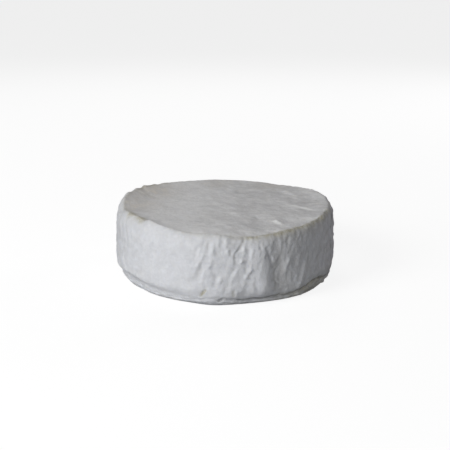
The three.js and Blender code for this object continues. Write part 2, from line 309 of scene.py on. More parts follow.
# beige rind, and painted shade in grey, along the lip at the foot, by azimuth
FOOT_TINTS = [
    (50, 18, 0.8),
    (150, 24, 0.6),
    (-140, 20, 0.4),
]
FOOT_SHADES = [
    (-16, 14, 0.3),
    (10, 14, 0.7),
    (36, 14, 0.25),
    (58, 14, 0.4),
    (150, 30, 0.4),
    (-140, 24, 0.3),
]
FOOT_TINT_SEED = 53
FOOT_SHADE_SEED = 57
# how far over the groove both end, how their edge strays and how they are broken
FOOT_BAND_TOP = 0.6
FOOT_BAND_EDGE = (0.8, -0.4)  # how far over that they start to show, and from where they are full
FOOT_BAND_STRAY = (0.9, 4)
FOOT_BAND_BREAKS = (0.6, 2, 1.2)
FOOT_BAND_MEAN = 0.85
# painted shade in the crease over the lip, by azimuth, and how far over the groove its middle runs
CREASE_SHADE = [(16, 10, 0.6), (34, 12, 0.6), (56, 16, 1.0), (140, 30, 0.5), (-140, 20, 0.4)]
CREASE_SHADE_WIDTH = 0.7
CREASE_SHADE_RISE = 0.3
CREASE_SHADE_STRAY = (0.4, 4, 59)
# painted shade on the side: all round under the rim, and more by azimuth there, low down and all the way up
SHADE_ALL_ROUND = 0.4
SHADE_UNDER_RIM = [(42, 20, 0.6)]
SHADE_LOW = [(70, 16, 1.0)]
SHADE_ON_WALL = [(34, 9, 0.4)]
UNDER_RIM = (8, 1)  # how far below the crest that starts, and from where it is full
LOW_DOWN = (14, 5)  # the height at which the low stretch starts, and from which it is full
FULL_DIP = 0.6  # how deep a groove is when its painted shade is darkest
# cracks and spots on the side, as paths
SIDE_TINTS = [
    ([(-9.2, 7.5), (-11.2, 5.3)], 0.7, 1.0),
    ([(4, 7.3), (4, 5.1)], 0.8, 0.5),
]
# warm patches on the top, which are also painted darker as shade, as x, y
TOP_TINTS_AND_SHADES = [
    ((-46, -4), 13, 0.8),
    ((-40, 26), 14, 1.0),
    ((25, 40), 10, 0.7),
    ((-5, 44), 9, 0.5),
]
# thick white mould on the top, partly painted highlight where its ridges catch the light, as paths in x and y
TOP_BLOOMS_AND_HIGHLIGHTS = [
    ([(24.4, -31.4), (25.6, -34.2)], 1.7, 1.0),
    ([(20, -41.5), (25.5, -45)], 2.2, 0.6),
    ([(34.6, -3.4), (38.5, -7), (42, -11.4)], 1.5, 0.8),
    ([(43.2, -1.1), (47.7, -1.1)], 1.5, 0.6),
    ([(32.4, 22.5), (35.2, 18.2), (36.1, 9.9)], 1.7, 0.6),
    ([(41.1, 12), (41.6, 13)], 1.5, 0.5),
    ([(16.2, -15.2), (18.6, -16.1)], 1.2, 0.5),
    ([(34.9, -27.5), (42.4, -27.5)], 3.4, 0.8),
]
# the rest of the top's mould, on the left and on the right: how light it is, and how streaky
PATCHY_SIDE = (-20, 15)  # the x where it starts to turn patchy, and from where it is patchiest
TOP_LIGHTNESS = (0.85, 0.38)
TOP_STREAKINESS = (0.2, 0.5)
STREAK_TURN = math.radians(-50)  # the way the streaks run, from +X
STREAKS = [(1, 8, 5, 55), (0.7, 3.6, 2.4, 56)]  # flat layers, but with a length and a width
WARM_PATCH_SHADE = 1.1  # painted shade: how much darker the top is in the warm patches

# ---- Fineness of the shown surface: how long its edges are ----

SIDE_EDGE = 0.5  # round the side
ROW_EDGE = 0.56  # up the side
FOOT_EDGE = 0.3  # up the side's foot
FOOT_SPANS = 4  # the profile's stretches there, up to just over the groove
TOP_EDGE = 0.64
BASE_EDGE = 1.4

# ---- Repeatable noise ----


def corner_hash(x, y, z, seed):
    bits = (x * np.uint32(0x27D4EB2D)) ^ (y * np.uint32(0x165667B1))
    bits ^= (z * np.uint32(0x1B873593)) ^ np.uint32(seed * 0x5BD1E995 & 0xFFFFFFFF)
    bits = (bits ^ (bits >> 15)) * np.uint32(0x2C1B3C6D)
    bits = (bits ^ (bits >> 12)) * np.uint32(0x297A2D39)
    return bits ^ (bits >> 15)


def noise(x, y, z, seed):
    """A smooth bump field with a swing of about 1 each way, and lumps about 1 across."""
    spot = np.stack(np.broadcast_arrays(x, y, z)).astype(float)
    cell = np.floor(spot)
    inside = spot - cell
    ease = inside**3 * (inside * (inside * 6 - 15) + 10)
    cell = cell.astype(np.int64)
    total = np.zeros(spot.shape[1:])
    for corner in range(8):
        step = [corner & 1, (corner >> 1) & 1, corner >> 2]
        bits = corner_hash(*((cell[axis] + step[axis]).astype(np.uint32) for axis in range(3)), seed)
        slope = 0
        weight = 1
        for axis in range(3):
            tilt = ((bits >> (10 * axis)) & 1023) / 511.5 - 1
            slope = slope + tilt * (inside[axis] - step[axis])
            weight = weight * (ease[axis] if step[axis] else 1 - ease[axis])
        total += slope * weight
    return total * 1.6


FLAT_CUT = 0.5  # the height at which flat layers cut the noise


def layer(x, y, z, strength, width, height, seed):
    return strength * noise(x / width, y / width, z / height, seed)


def flat_layer(x, y, strength, size, seed):
    return strength * noise(x / size, y / size, FLAT_CUT, seed)


# ---- Places on the wheel ----


def place(radius, azimuth, height):
    return radius * np.sin(azimuth), -radius * np.cos(azimuth), height + 0 * azimuth


def turn_between(azimuth, other):
    return (azimuth - other + math.pi) % (2 * math.pi) - math.pi


def bell(distance):
    return np.exp(-distance * distance)


def smoothstep(x, low, high):
    t = np.clip((x - low) / (high - low), 0, 1)
    return t * t * (3 - 2 * t)


def lerp(start, end, share):
    return start + (end - start) * share


def bells_at(bells, azimuth):
    """The sum of bells round the wheel, each with its azimuth, width and height."""
    total = 0 * azimuth
    for middle, width, rise in bells:
        total = total + rise * bell(turn_between(azimuth, math.radians(middle)) / math.radians(width))
    return total


def swells_at(swells, azimuth):
    return sum(rise * np.cos(times * azimuth - math.radians(peak)) for rise, times, peak in swells)


def rim_height(azimuth):
    return RIM_HEIGHT + swells_at(RIM_SWELLS, azimuth) + bells_at(RIM_BUMPS, azimuth)


def crest_radius(azimuth):
    return CREST_RADIUS + RIM_SHIFT * np.sin(azimuth)


def foot_radius(azimuth):
    return FOOT_RADIUS + swells_at(FOOT_SWELLS, azimuth) + bells_at(FOOT_BUMPS, azimuth)


def groove_height(azimuth):
    return GROOVE_HEIGHT + bells_at(GROOVE_RISES, azimuth)


def profile_points(azimuth):
    """The outline from the edge of the flat base up to the rim's crest, as radii and heights."""
    rim = rim_height(azimuth)
    rim_radius = crest_radius(azimuth) + ROLL
    foot = foot_radius(azimuth)
    groove = groove_height(azimuth)
    stretch = rim / RIM_HEIGHT
    points = [
        *((foot - FOOT_UNDERCUT * inwards, groove * up) for inwards, up in FOOT_ROUNDING),
        (foot - GROOVE_DEPTH - bells_at(GROOVE_DEEPENINGS, azimuth), groove),
        *((lerp(foot, BELLY_RADIUS, out), lerp(groove, BELLY_HEIGHT, up)) for out, up in BELLY_SWELLING),
        (BELLY_RADIUS, BELLY_HEIGHT),
        ((BELLY_RADIUS + SHOULDER_RADIUS) / 2, (BELLY_HEIGHT + SHOULDER_HEIGHT) * 0.5 * stretch),
        (SHOULDER_RADIUS, SHOULDER_HEIGHT * stretch),
        *((lerp(rim_radius, SHOULDER_RADIUS, back), rim - ROLL * down) for back, down in RIM_TURN),
        (crest_radius(azimuth), rim),
    ]
    return np.array([[value + 0 * azimuth for value in point] for point in points])


def spline(points, stop):
    """A place on the smooth curve through the points, and the direction it runs in there."""
    last = len(points) - 1
    span = min(int(stop * last), last - 1)
    t = stop * last - span
    p0, p1, p2, p3 = (points[min(max(span + k, 0), last)] for k in (-1, 0, 1, 2))
    v1, v2 = (p2 - p0) / 2, (p3 - p1) / 2
    a, b = 2 * p1 - 2 * p2 + v1 + v2, -3 * p1 + 3 * p2 - 2 * v1 - v2
    along = 3 * a * t * t + 2 * b * t + v1
    return a * t**3 + b * t * t + v1 * t + p1, along / np.hypot(*along)


# ---- Relief that the solid has too ----


def folded_share(azimuth):
    """How deep the folds are at an azimuth, from 0 to 1."""
    away = np.abs(turn_between(azimuth, math.radians(FOLDED_MIDDLE)))
    near, far = (math.radians(reach) for reach in FOLDED_REACH)
    return lerp(1, SMOOTH_SHARE, smoothstep(away, near, far))


def creases(x, y, z, seed):
    """Sharp ridges between rounded hollows, from about -1 to 1."""
    return 1 - 2.4 * np.abs(noise(x, y, z, seed))


def folds(azimuth, height):
    """Upright folds that wander and end, mostly rounded, from about -1 to 1."""
    across = azimuth - FOLD_LEAN * (height - RIM_HEIGHT / 2) / BELLY_RADIUS
    x, y, z = place(BELLY_RADIUS, across, height)
    wander = layer(x, y, z, FOLD_WANDER, WANDER_SIZE, WANDER_SIZE, 3)
    spot = (x / FOLD_WIDTH + wander, y / FOLD_WIDTH - wander, z / FOLD_LENGTH)
    return lerp(noise(*spot, 4), creases(*spot, 5), CREASE_SHARE)


def slow_swell(x, y, z):
    return layer(x, y, z, SWELL_DEPTH, SWELL_SIZE, SWELL_SIZE, 1)


# ---- Finer relief, for the shown surface alone ----

BELL_REACH = 2.6  # how far from its middle a bell still counts, in widths


def path_distance(points, u, v):
    """The distance of each place (u, v) to the nearest place on a path of straight stretches."""
    nearest = np.full(np.shape(u), np.inf)
    for (u0, v0), (u1, v1) in zip(points, points[1:]):
        du, dv = u1 - u0, v1 - v0
        share = np.clip(((u - u0) * du + (v - v0) * dv) / (du * du + dv * dv), 0, 1)
        nearest = np.minimum(nearest, np.hypot(u - u0 - share * du, v - v0 - share * dv))
    return nearest


def raised(marks, u, v):
    """The summed rise of the marks at flat places (u, v), each worked out only near its path."""
    total = np.zeros(np.shape(u))
    for points, width, rise in marks:
        reach = BELL_REACH * width
        corners = np.array(points)
        low, high = corners.min(0) - reach, corners.max(0) + reach
        near = (u > low[0]) & (u < high[0]) & (v > low[1]) & (v < high[1])
        total[near] += rise * bell(path_distance(points, u[near], v[near]) / width)
    return total


def unrolled(marks):
    """Side marks with their azimuths turned into millimetres round the belly."""
    arc = math.radians(1) * BELLY_RADIUS
    return [([(azimuth * arc, height) for azimuth, height in points], *rest) for points, *rest in marks]


def rise_drawn(draw, rises):
    """A rise between two measures, mostly up but at times down, for a groove."""
    return draw.uniform(*rises) * (1 if draw.random() < RAISED_SHARE else -1)


def scattered_side_marks():
    """Short upright welts and grooves, thick on the folded part of the side and rare elsewhere."""
    draw = np.random.default_rng(SIDE_SCATTER["seed"])
    marks = []
    for _ in range(SIDE_SCATTER["draws"]):
        azimuth = draw.uniform(-180, 180)
        height = draw.uniform(*SIDE_SCATTER["height"])
        lean = draw.normal(*SIDE_SCATTER["lean"])
        length = draw.uniform(*SIDE_SCATTER["length"])
        width = draw.uniform(*SIDE_SCATTER["width"])
        rise = rise_drawn(draw, SIDE_SCATTER["rise"])
        share = float(folded_share(math.radians(azimuth)))
        calm = draw.random() > share**CALM_THINNING
        if calm or (DRAWN_STRETCH[0] < azimuth < DRAWN_STRETCH[1] and draw.random() < DRAWN_LOSS):
            continue
        middle = azimuth * math.radians(1) * BELLY_RADIUS
        across, up = math.sin(lean) * length / 2, math.cos(lean) * length / 2
        points = [(middle - across, height - up), (middle + across, height + up)]
        marks.append((points, width, rise * lerp(CALM_RISE, 1, share)))
    return marks


def scattered_top_marks():
    """Low wrinkles that mostly run one way across the top, rarer on its left."""
    draw = np.random.default_rng(TOP_SCATTER["seed"])
    marks = []
    for _ in range(TOP_SCATTER["draws"]):
        x, y = draw.uniform(*TOP_SCATTER["place"], 2)
        turn = math.radians(draw.normal(*TOP_SCATTER["turn"]))
        half = draw.uniform(*TOP_SCATTER["half_length"])
        width = draw.uniform(*TOP_SCATTER["width"])
        rise = rise_drawn(draw, TOP_SCATTER["rise"])
        if draw.random() > lerp(TOP_SCATTER_LEFT, 1, float(smoothstep(x, *TOP_SCATTER_SIDE))):
            continue
        across, along = math.cos(turn) * half, math.sin(turn) * half
        marks.append(([(x - across, y - along), (x + across, y + along)], width, rise))
    return marks


ALL_SIDE_MARKS = unrolled(SIDE_MARKS) + scattered_side_marks()
ALL_TOP_MARKS = TOP_MARKS + scattered_top_marks()


def skin(x, y, z, share):
    """The fine unevenness of the rind."""
    return share * sum(layer(x, y, z, *each) for each in SKIN)


def upright_wrinkles(azimuth, x, y, z):
    """Narrow upright wrinkles that fade out towards the foot."""
    strength = WRINKLES_ALL_ROUND + bells_at(WRINKLES, azimuth)
    broken = WRINKLE_MEAN + layer(x, y, z, *WRINKLE_BREAKS)
    lines = sum(layer(x, y, z, *each) for each in WRINKLE_LINES)
    return WRINKLE_DEPTH * strength * broken * smoothstep(z, *WRINKLE_GROWTH) * lines


def lumps(azimuth, x, y, z):
    return bells_at(LUMPS, azimuth) * layer(x, y, z, *LUMP_LAYER)


def side_relief(azimuth, x, y, z):
    above = smoothstep(z, GROOVE_HEIGHT, BELLY_HEIGHT)
    folded = FOLD_DEPTH * folded_share(azimuth) * folds(azimuth, z)
    around = turn_between(azimuth, 0) * BELLY_RADIUS
    broad = raised(unrolled(BROAD_MARKS), around + layer(x, y, z, *BROAD_STRAY), z)
    aside, up = (layer(x, y, z, *stray) for stray in SIDE_STRAYS)
    fading = np.clip(1 + layer(x, y, z, *SIDE_FADING), *FADING_LIMITS)
    marks = raised(ALL_SIDE_MARKS, around + aside, z + up)
    rough = upright_wrinkles(azimuth, x, y, z) + above * lumps(azimuth, x, y, z)
    return above * folded + broad + fading * marks + rough


def foot_lumps(azimuth, height):
    x, y, _ = place(FOOT_RADIUS, azimuth, 0)
    groove = groove_height(azimuth)
    size = FOOT_LUMP_DEPTH + bells_at(FOOT_RUGGEDNESS, azimuth)
    return size * layer(x, y, height, *FOOT_LUMPS) * smoothstep(height, groove + FOOT_LUMPS_END, groove)


def foot_creases(azimuth, height):
    """How deep the two thin creases along the lip are at a place."""
    x, y, _ = place(FOOT_RADIUS, azimuth, 0)
    groove = groove_height(azimuth)
    upper = groove + flat_layer(x, y, *UPPER_CREASE_STRAY)
    lower = LOWER_CREASE_HEIGHT * groove + flat_layer(x, y, *LOWER_CREASE_STRAY)
    broken = np.clip(LOWER_CREASE_MEAN + flat_layer(x, y, *LOWER_CREASE_BREAKS), 0, 1)
    in_upper = bell((height - upper) / UPPER_CREASE_WIDTH)
    in_lower = LOWER_CREASE_DEPTH * broken * bell((height - lower) / LOWER_CREASE_WIDTH)
    return (FOOT_CREASE_DEPTH + bells_at(FOOT_CREASES, azimuth)) * (in_upper + in_lower)


def foot_relief(azimuth, height):
    over = height - groove_height(azimuth)
    bands = sum(share * bell((over - middle) / width) for middle, width, share in EASED_BANDS)
    eased = bells_at(FOOT_EASINGS, azimuth) * bands
    relief = foot_lumps(azimuth, height) - foot_creases(azimuth, height) + eased
    return smoothstep(height, *FOOT_GROWTH) * relief


def top_relief(x, y):
    crumple = flat_layer(x, y, 1, CRUMPLE_SIZE, 7)
    crumpled = lerp(SMOOTH_SHARE, 1, smoothstep(x, *CRUMPLED_SIDE))
    stray_x, stray_y = (flat_layer(x, y, *stray) for stray in TOP_STRAYS)
    marks = raised(ALL_TOP_MARKS, x + stray_x, y + stray_y)
    return CRUMPLE_DEPTH * crumpled * crumple * np.abs(crumple) + marks


def rim_rag(azimuth, away):
    """Small bumps near the crest, roughest at the back left and at the front right."""
    x, y, _ = place(CREST_RADIUS, azimuth, 0)
    strength = RAG_DEPTH * (RAGS_ALL_ROUND + bells_at(RIM_RAGS, azimuth))
    return strength * sum(flat_layer(x, y, *each) for each in RAG_LAYERS) * bell(away / RAG_REACH)


# ---- Where the mould is thin or tinted, and where shade and highlight are painted, from 0 to 1 ----


def rim_tint(radius, azimuth):
    """A thin uneven beige line along the crest: a little inside it on the left, outside on the right."""
    x, y, _ = place(CREST_RADIUS, azimuth, 0)
    line = crest_radius(azimuth) + RIM_TINT_OUTSIDE + RIM_TINT_SWING * np.sin(azimuth)
    line = line + flat_layer(x, y, *RIM_TINT_STRAY)
    patchy = np.clip(RIM_TINT_MEAN + flat_layer(x, y, *RIM_TINT_BREAKS), 0, 1)
    width = RIM_TINT_WIDTH + bells_at(RIM_TINT_WIDENINGS, azimuth)
    return bells_at(RIM_TINTS, azimuth) * patchy * bell((radius - line) / width)


def foot_tint_or_shade(amounts, seed, azimuth, height):
    """Uneven beige rind or painted shade on the lip at the foot, by amounts round it, that ends a little over
    the groove.
    """
    x, y, _ = place(FOOT_RADIUS, azimuth, 0)
    edge = groove_height(azimuth) + FOOT_BAND_TOP + flat_layer(x, y, *FOOT_BAND_STRAY, seed)
    patchy = np.clip(FOOT_BAND_MEAN + layer(x, y, height, *FOOT_BAND_BREAKS, seed + 1), 0, 1)
    start, full = (edge + over for over in FOOT_BAND_EDGE)
    return bells_at(amounts, azimuth) * patchy * smoothstep(height, start, full)


# painted shade along the crease over the lip
def crease_shade(azimuth, height):
    x, y, _ = place(FOOT_RADIUS, azimuth, 0)
    middle = groove_height(azimuth) + CREASE_SHADE_RISE + flat_layer(x, y, *CREASE_SHADE_STRAY)
    return bells_at(CREASE_SHADE, azimuth) * bell((height - middle) / CREASE_SHADE_WIDTH)


def side_shade(azimuth, height, under_rim):
    """How much painted shade the side has under the rim, low down and on one stretch of the wall, apart from
    the grooves.
    """
    under = (SHADE_ALL_ROUND + bells_at(SHADE_UNDER_RIM, azimuth)) * smoothstep(under_rim, *UNDER_RIM)
    low = bells_at(SHADE_LOW, azimuth) * smoothstep(height, *LOW_DOWN)
    return under + low + bells_at(SHADE_ON_WALL, azimuth)


def top_tint_and_shade(x, y):
    total = 0 * x
    for (middle_x, middle_y), reach, amount in TOP_TINTS_AND_SHADES:
        total = total + amount * bell(np.hypot(x - middle_x, y - middle_y) / reach)
    return np.clip(total, 0, 1)


def streaks_at(x, y):
    towards_x, towards_y = math.cos(STREAK_TURN), math.sin(STREAK_TURN)
    along, across = x * towards_x + y * towards_y, y * towards_x - x * towards_y
    layers = (
        strength * noise(along / length, across / width, FLAT_CUT, seed)
        for strength, length, width, seed in STREAKS
    )
    return sum(layers)


def top_bloom_and_light(x, y):
    """How light the top is: even on the left, patchy and darker on the right, darker in the warm patches as
    painted shade, and white along some ridges, partly as painted highlight.
    """
    patchy = smoothstep(x, *PATCHY_SIDE)
    # painted shade: the top is darker in the warm patches
    even = lerp(*TOP_LIGHTNESS, patchy) - WARM_PATCH_SHADE * top_tint_and_shade(x, y)
    # thick white mould along some ridges, partly painted highlight
    return even + lerp(*TOP_STREAKINESS, patchy) * streaks_at(x, y) + raised(TOP_BLOOMS_AND_HIGHLIGHTS, x, y)


# ---- The surface, as rings of points from the middle of the base to the middle of the top ----
# Each point has its x, y and z, and then the values that SURFACE_VALUES names.


# what the material reads from the surface, from 0 to 1, and what the plain base has of it
SURFACE_VALUES = {
    "top": 0.5,  # how far the point belongs to the top
    "beige": 0,  # how much beige rind shows
    "warm": 0.3,  # how far it lies in one of the top's warm patches
    "groove": 0,  # painted shade in a groove or on a shaded stretch of the side, partly thinner mould in the grooves
    "bloom_and_light": 0.5,  # how light the top is: its mould, with painted shade and painted highlight
    "foot_shade": 0,  # painted shade on the lip at the foot and in the crease over it
}
TOP_BLEND = (0.2, 0.8)  # how level the surface is where it starts to belong to the top, and where it does


def ring_corners(radius, edge):
    return max(6, round(2 * math.pi * radius / edge))


def azimuths(corners):
    return np.arange(corners) * (2 * math.pi / corners)


def profile_stops():
    points = profile_points(0.0)
    spans = len(points) - 1
    stops = []
    for span in range(spans):
        edge = FOOT_EDGE if span < FOOT_SPANS else ROW_EDGE
        steps = max(1, round(float(np.hypot(*(points[span + 1] - points[span]))) / edge))
        stops += [(span + step / steps) / spans for step in range(steps)]
    return stops + [1]


def columns(*values):
    return np.stack(np.broadcast_arrays(*values), -1).astype(float)


def base_ring(share):
    """A ring of the flat base, at a share of the way from its middle to its edge."""
    azimuth = azimuths(ring_corners(share * FOOT_RADIUS, BASE_EDGE))
    radius = share * (foot_radius(azimuth) - FOOT_UNDERCUT)
    return columns(*place(radius, azimuth, 0), *SURFACE_VALUES.values())


def beige_side(radius, azimuth, height, under_rim):
    """How much beige rind shows on the side: along its rim, in its spots and at its foot."""
    rim = rim_tint(radius, azimuth) * smoothstep(under_rim, *RIM_TINT_REACH)
    spots = raised(unrolled(SIDE_TINTS), turn_between(azimuth, 0) * BELLY_RADIUS, height)
    return rim + spots + foot_tint_or_shade(FOOT_TINTS, FOOT_TINT_SEED, azimuth, height)


def side_ring(azimuth, stop):
    """A ring of the side, moved out of the smooth outline by its relief."""
    (radius, height), along = spline(profile_points(azimuth), stop)
    smooth = place(radius, azimuth, height)
    under_rim = rim_height(azimuth) - height
    upright = np.maximum(0, along[1])
    level = 1 - upright
    relief = upright * side_relief(azimuth, *smooth) + level * top_relief(*smooth[:2])
    fine = skin(*smooth, lerp(CALM_SKIN, 1, folded_share(azimuth)))
    above_foot = smoothstep(height, 0, GROOVE_HEIGHT)
    wall = relief + rim_rag(azimuth, under_rim) + slow_swell(*smooth) + fine
    move = above_foot * wall + foot_relief(azimuth, height)
    x, y, z = place(radius + move * along[1], azimuth, height - move * along[0])
    top = smoothstep(level, *TOP_BLEND)
    beige = beige_side(radius, azimuth, height, under_rim)
    # painted shade: grey in the grooves and on the shaded stretches of the side
    groove = np.clip(-(relief + fine) / FULL_DIP, 0, 1) + side_shade(azimuth, height, under_rim)
    # painted shade on the lip at the foot and in its crease
    foot_shade = foot_tint_or_shade(FOOT_SHADES, FOOT_SHADE_SEED, azimuth, height) + crease_shade(azimuth, height)
    return columns(x, y, z, top, beige, top_tint_and_shade(x, y) * level, groove, top_bloom_and_light(x, y), foot_shade)


def top_ring(azimuth, share):
    """A ring of the top, at a share of the way from its middle to the crest."""
    radius = share * crest_radius(azimuth)
    from_crest = crest_radius(azimuth) - radius
    inside = np.minimum(1, from_crest / LIP_WIDTH)
    lip = (rim_height(azimuth) - TOP_HEIGHT) * (1 - inside) ** LIP_CURVE
    x, y, z = place(radius, azimuth, TOP_HEIGHT + lip)
    relief = top_relief(x, y)
    fine = skin(x, y, z, lerp(*TOP_SKIN, smoothstep(x, *PATCHY_SIDE)))
    z = z + relief + rim_rag(azimuth, from_crest) + slow_swell(x, y, z) + fine
    # painted shade in the hollows of the top
    groove = np.clip(-relief / FULL_DIP, 0, 1)
    return columns(x, y, z, 1, rim_tint(radius, azimuth), top_tint_and_shade(x, y), groove, top_bloom_and_light(x, y), 0)


def wheel_rings():
    """The rings, and how many of them belong to the base and to the side."""
    rings = [base_ring(0)[:1]]
    base_rings = round(FOOT_RADIUS / BASE_EDGE)
    rings += [base_ring(i / base_rings) for i in range(1, base_rings)]
    side = azimuths(ring_corners(BELLY_RADIUS, SIDE_EDGE))
    stops = profile_stops()
    rings += [side_ring(side, stop) for stop in stops]
    top_rings = round(CREST_RADIUS / TOP_EDGE)
    for i in range(1, top_rings):
        share = 1 - i / top_rings
        on_lip = (1 - share) * CREST_RADIUS < LIP_WIDTH / 4
        corners = side if on_lip else azimuths(ring_corners(share * CREST_RADIUS, TOP_EDGE))
        rings.append(top_ring(corners, share))
    rings.append(top_ring(np.zeros(1), 0.0))
    return rings, base_rings, len(stops)


def stitch(lower, upper):
    """Faces between two rings of point numbers: quads where they have as many, or else triangles."""
    n, m = len(lower), len(upper)
    if n == m:
        return [(lower[i], lower[(i + 1) % n], upper[(i + 1) % n], upper[i]) for i in range(n)]
    n_steps, m_steps = (n if n > 1 else 0), (m if m > 1 else 0)
    faces = []
    i = j = 0
    while i < n_steps or j < m_steps:
        lower_next = i < n_steps and (j >= m_steps or (i + 1) * m_steps <= (j + 1) * n_steps)
        a, b = lower[i % n], upper[j % m]
        if lower_next:
            i += 1
            faces.append((a, lower[i % n], b))
        else:
            j += 1
            faces.append((a, upper[j % m], b))
    return faces


def wheel_mesh():
    rings, base_rings, side_rings = wheel_rings()
    points = np.concatenate(rings)
    middle = (points.min(0) + points.max(0)) / 2
    points[:, :2] -= middle[:2]
    firsts = np.cumsum([0] + [len(ring) for ring in rings])
    faces = []
    for k in range(len(rings) - 1):
        faces += stitch(range(firsts[k], firsts[k + 1]), range(firsts[k + 1], firsts[k + 2]))
    mesh = bpy.data.meshes.new("rind")
    mesh.from_pydata((points[:, :3] * MM).tolist(), [], faces)
    mesh.shade_smooth()
    for column, name in enumerate(SURFACE_VALUES, 3):
        values = mesh.attributes.new(name, "FLOAT", "POINT").data
        values.foreach_set("value", np.clip(points[:, column], 0, 1).astype(np.float32))
    ring_numbers = np.repeat(np.arange(len(rings)), [len(ring) for ring in rings])
    add_map(mesh, points, ring_numbers, base_rings, base_rings + side_rings - 1)
    return mesh


# ---- The mesh's map: the side as two strips, and above them the top and the base as discs ----

MAP_GAP = 2
DISC_RADIUS = CREST_RADIUS + 1.5  # the room for a disc; the base reaches a little into its gaps
MAP_SIZE = 4 * DISC_RADIUS + 3 * MAP_GAP


def loop_values(items, name, kind, count):
    values = np.empty(count, kind)
    items.foreach_get(name, values)
    return values


def ring_runs(points, ring_numbers, first_side, last_side):
    """How far along the profile each ring of the side lies, and 0 for the other rings."""
    _, firsts = np.unique(ring_numbers, return_index=True)
    steps = np.linalg.norm(np.diff(points[firsts, :3], axis=0), axis=1)
    steps[:first_side] = 0
    steps[last_side:] = 0
    return np.concatenate([[0], np.cumsum(steps)])


def add_map(mesh, points, ring_numbers, first_side, last_side):
    """Lays each face flat in the strip or the disc of its part."""
    corners = len(mesh.loops)
    vertex = loop_values(mesh.loops, "vertex_index", np.int32, corners)
    sizes = loop_values(mesh.polygons, "loop_total", np.int32, len(mesh.polygons))
    centres = loop_values(mesh.polygons, "center", np.float32, 3 * len(mesh.polygons)).reshape(-1, 3)
    face = np.repeat(np.arange(len(sizes)), sizes)
    ring = ring_numbers[vertex]
    lowest = np.minimum.reduceat(ring, np.cumsum(sizes) - sizes)[face]
    at_back = centres[face, 1] > 0
    x, y = points[vertex, 0], points[vertex, 1]
    runs = ring_runs(points, ring_numbers, first_side, last_side)
    strip_height = runs.max()
    azimuth = np.arctan2(x, -y)
    around = turn_between(azimuth, np.where(at_back, math.pi, 0)) * BELLY_RADIUS
    strip_u = MAP_SIZE / 2 + around
    strip_v = MAP_GAP + runs[ring] + at_back * (MAP_GAP + strip_height)
    disc_v = y + 3 * MAP_GAP + 2 * strip_height + DISC_RADIUS
    on_side = (lowest >= first_side) & (lowest < last_side)
    on_base = lowest < first_side
    disc_u = x + np.where(on_base, MAP_GAP + DISC_RADIUS, 2 * MAP_GAP + 3 * DISC_RADIUS)
    places = np.stack([np.where(on_side, strip_u, disc_u), np.where(on_side, strip_v, disc_v)], -1)
    layer = mesh.uv_layers.new(name="OFBake")
    layer.uv.foreach_set("vector", (places / MAP_SIZE).astype(np.float32).ravel())


wheel = bpy.data.objects.new("cheese", wheel_mesh())
bpy.context.scene.collection.objects.link(wheel)

# ---- Material ----

SIDE_WHITE = (0.80, 0.815, 0.85)
TOP_WHITE = (0.92, 0.92, 0.92)
TOP_GREY = (0.70, 0.695, 0.70)
WARM = (0.81, 0.765, 0.69)
BEIGE = (0.49, 0.46, 0.35)
# painted shade: grey in the grooves and on the shaded stretches of the side, partly thinner mould
GROOVE_SHADE_GREY = (0.62, 0.62, 0.62)
GROOVE_SHADE_SHARE = 0.6  # how much of that painted shade the deepest groove and the most shaded stretch take on
# painted shade on the lip at the foot and in the crease over it
FOOT_SHADE_GREY = (0.36, 0.365, 0.375)

# noise that makes the colours uneven: its size in millimetres, detail and roughness, the stretch of its
# values that counts and what that is spread onto
WARM_PATCHES = {"size": 3.5, "detail": 2, "roughness": 0.5, "stretch": (0.3, 0.7), "onto": (0.35, 1)}
BEIGE_RAGS = {"size": 0.9, "detail": 3, "roughness": 0.5, "stretch": (0.35, 0.6), "onto": (0.5, 1)}
MOTTLE = {"size": 4.5, "detail": 3, "roughness": 0.6, "stretch": (0.25, 0.75), "onto": (0.92, 1.05)}
SPECKLE = {"size": 1.3, "detail": 2, "roughness": 0.5, "stretch": (0.25, 0.75), "onto": (0.965, 1.03)}
# bumps too fine for the mesh: the same, and then their strength and their depth in millimetres
NAP = {"size": 0.35, "detail": 2, "roughness": 0.6, "strength": 0.35, "depth": 0.08}
PIMPLES = {"size": 1.6, "detail": 2, "roughness": 0.5, "strength": 1.0, "depth": 0.2}
RIND_SHADER = {
    "Roughness": 0.82,
    "Specular IOR Level": 0.25,
    "Sheen Weight": 0.12,
    "Sheen Roughness": 0.5,
    "Subsurface Weight": 0.12,
    "Subsurface Radius": (1.0, 0.9, 0.75),
    "Subsurface Scale": 1.2 * MM,
}


